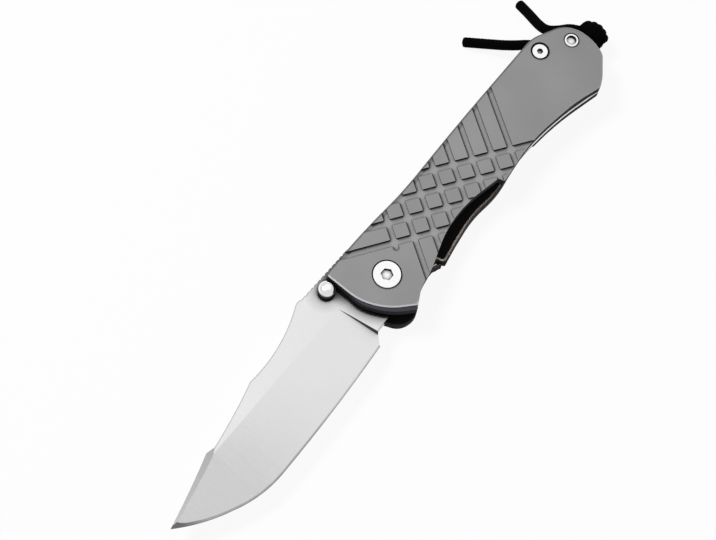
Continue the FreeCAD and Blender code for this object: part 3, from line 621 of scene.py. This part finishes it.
def blade_steel():
    """Satin steel with fine grinding lines across the blade, a matte swedge and a bevel along the
    cutting edge in painted shade, and thin lines of painted shade at its spine, its belly and its
    plunge."""
    s = Shader("satin_steel")
    lines = s.noise(1.0, detail=3.0, vector=s.stretched(BLADE_GRAIN))
    to_spine = s.axis(s.normal(), "Y")
    swedge = s.rise(to_spine, FACET_TILT)
    bevel = s.rise(s.minus(to_spine), FACET_TILT)
    plunge = s.rise(s.minus(s.axis(s.normal(), "X")), PLUNGE_TILT)
    from_tip = s.math("DIVIDE", s.math("SUBTRACT", s.axis(s.place(), "X"), TIP), EDGE_RUN)
    lean = s.lean(BLADE_LINE_REACH, SPINE_SIDE)
    shade = s.fall(s.open_share(BLADE_SKY_REACH), BLADE_SHADE_SKY)
    colour = s.spread(s.average(lines, s.noise(BLADE_CLOUD)), *BLADE_FACE)
    # Painted shade lines along the spine and the belly
    colour = s.mix(s.rise(lean, SPINE_LINE_LEAN), colour, BLADE_EDGE_SHADE)
    # Painted shade on the edge bevel, deepening towards the tip
    colour = s.mix(bevel, colour, s.ramp(from_tip, BEVEL_SHADE_TONES))
    colour = s.mix(s.rise(s.minus(lean), BELLY_LINE_LEAN), colour, BLADE_EDGE_SHADE)
    # Painted shade on the matte swedge, deepening away from the tip
    colour = s.mix(swedge, colour, s.ramp(from_tip, SWEDGE_SHADE_TONES))
    # Painted shade on the plunge
    colour = s.mix(plunge, colour, BLADE_PLUNGE_SHADE)
    s.set("Base Color", s.mix(shade, colour, BLADE_SHADE))
    s.set("Metallic", s.mix(swedge, 1.0, 0.0))
    s.set("Roughness", s.mix(swedge, s.spread(lines, *BLADE_ROUGHNESS), SWEDGE_ROUGHNESS))
    s.bump(lines, BLADE_BUMP, FINE_BUMP_DEPTH)
    return s.material


# Polished steel: colours and finish, and the painted shade on its walls and in its sockets
POLISHED_FACE = ((0.92, 0.92, 0.93), (0.96, 0.96, 0.965))
POLISHED_SHADE = (0.12, 0.12, 0.125)
# Painted shade on walls
POLISHED_WALL_SHADE = (0.02, 0.02, 0.022)
POLISHED_HAZE = 900.0
POLISHED_ROUGHNESS = (0.12, 0.2)
POLISHED_WALL_ROUGHNESS = 0.9
SOCKET_SKY_REACH = 0.0016
SOCKET_SHADE_SKY = (0.55, 0.95)


def polished_steel():
    """Polished steel, with painted shade down its walls and in its sockets."""
    s = Shader("polished_steel")
    haze = s.noise(POLISHED_HAZE, detail=4.0)
    shade = s.fall(s.open_share(SOCKET_SKY_REACH), SOCKET_SHADE_SKY)
    wall = s.walls()
    rough = s.spread(haze, *POLISHED_ROUGHNESS)
    colour = s.mix(shade, s.spread(haze, *POLISHED_FACE), POLISHED_SHADE)
    # Painted shade on walls
    s.set("Base Color", s.mix(wall, colour, POLISHED_WALL_SHADE))
    s.set("Metallic", s.mix(wall, 1.0, 0.0))
    s.set("Roughness", s.mix(wall, rough, POLISHED_WALL_ROUGHNESS))
    return s.material


# Bronze, rubber and nylon: colours and finish
BRONZE_FACE = ((0.44, 0.3, 0.15), (0.56, 0.4, 0.22))
BRONZE_HAZE = 1500.0
BRONZE_ROUGHNESS = (0.35, 0.45)
RUBBER_FACE = (0.008, 0.016)
RUBBER_HAZE = 3000.0
SOFT_BUMP = 0.2
NYLON_FACE = ((0.0003, 0.0003, 0.0003), (0.0012, 0.0012, 0.0013))
NYLON_FIBRE = 6000.0
NYLON_BUMP = 0.4
NYLON_BUMP_DEPTH = 0.00004


def bronze():
    s = Shader("bronze", Metallic=1.0)
    haze = s.noise(BRONZE_HAZE, detail=4.0)
    s.set("Base Color", s.spread(haze, *BRONZE_FACE))
    s.set("Roughness", s.spread(haze, *BRONZE_ROUGHNESS))
    s.bump(haze, SOFT_BUMP, FINE_BUMP_DEPTH)
    return s.material


def rubber():
    s = Shader("black_rubber", Roughness=0.7)
    haze = s.noise(RUBBER_HAZE, detail=3.0)
    s.set("Base Color", s.spread(haze, *RUBBER_FACE))
    s.bump(haze, SOFT_BUMP, FINE_BUMP_DEPTH)
    return s.material


def nylon():
    s = Shader("black_cord", Roughness=0.9, Specular_IOR_Level=0.04)
    fibre = s.noise(NYLON_FIBRE, detail=4.0)
    s.set("Base Color", s.spread(fibre, *NYLON_FACE))
    s.bump(fibre, NYLON_BUMP, NYLON_BUMP_DEPTH)
    return s.material


def dress(cord_pieces, clip):
    """Gives every node its slot's finish, or its own, and the new pieces theirs."""
    finishes = {
        "blasted_titanium": titanium("blasted_titanium"),
        "satin_steel": blade_steel(),
        "polished_steel": polished_steel(),
        "bronze": bronze(),
        "black_rubber": rubber(),
        "black_cord": nylon(),
    }
    rear = titanium("rear_titanium", -1)
    own = {"front_scale": titanium("front_titanium", 1), "rear_scale": rear, "lock_bar": rear}
    for row in frame["record"]["subparts"]:
        data = nodes[row["node"]].data
        data.materials.clear()
        data.materials.append(own.get(row["node"], finishes[row["material_slot"]]))
    for piece in cord_pieces:
        piece.data.materials.append(finishes["black_cord"])
    clip.data.materials.clear()
    clip.data.materials.append(finishes["blasted_titanium"])


def seen(tree):
    """1 for rays from the camera, a mirror or glass, and 0 for light."""
    rays = tree.nodes.new("ShaderNodeLightPath").outputs
    found = rays["Is Camera Ray"]
    for name in ("Is Glossy Ray", "Is Transmission Ray"):
        either = tree.nodes.new("ShaderNodeMath")
        either.operation = "MAXIMUM"
        tree.links.new(found, either.inputs[0])
        tree.links.new(rays[name], either.inputs[1])
        found = either.outputs[0]
    return found


def make_stage():
    """Pale floor that keeps shadows and is nearly white to an eye or a mirror."""
    mesh = bpy.data.meshes.new("floor")
    corners = [(-1, -1, 0), (1, -1, 0), (1, 1, 0), (-1, 1, 0)]
    mesh.from_pydata([(x * FLOOR_SIZE, y * FLOOR_SIZE, z) for x, y, z in corners], [], [(0, 1, 2, 3)])
    link(bpy.data.objects.new("floor", mesh))
    s = Shader("floor", Base_Color=rgb(FLOOR_TONE), Roughness=1.0)
    share = s.math("MULTIPLY", seen(s.tree), FLOOR_WHITE)
    white = s.add("Emission", {"Strength": 1.0}).outputs[0]
    mix = s.add("MixShader", {0: share, 1: s.surface.outputs[0], 2: white})
    s.join(mix.outputs[0], s.tree.nodes["Material Output"].inputs["Surface"])
    mesh.materials.append(s.material)


def lamp(name, place, size, power):
    """Square lamp that points at the middle of the part."""
    data = bpy.data.lights.new(name, "AREA")
    data.shape = "SQUARE"
    data.size = size
    data.energy = power
    obj = link(bpy.data.objects.new(name, data))
    obj.location = place
    obj.rotation_euler = (-Vector(place)).to_track_quat("-Z", "Y").to_euler()


def make_light():
    """Plain sky, a large soft lamp overhead and a small key lamp on the spine side."""
    world = bpy.data.worlds.new("studio")
    scene.world = world
    world.use_nodes = True
    tree = world.node_tree
    background = tree.nodes["Background"].inputs
    background["Color"].default_value = rgb(1.0)
    level = tree.nodes.new("ShaderNodeMapRange")
    level.inputs["To Min"].default_value = SKY
    level.inputs["To Max"].default_value = SKY_SEEN
    tree.links.new(seen(tree), level.inputs["Value"])
    tree.links.new(level.outputs[0], background["Strength"])
    lamp("overhead", **OVERHEAD)
    lamp("key", **KEY)


make_camera()
cord_pieces = make_cord()
dress(cord_pieces, make_clip())
make_stage()
make_light()
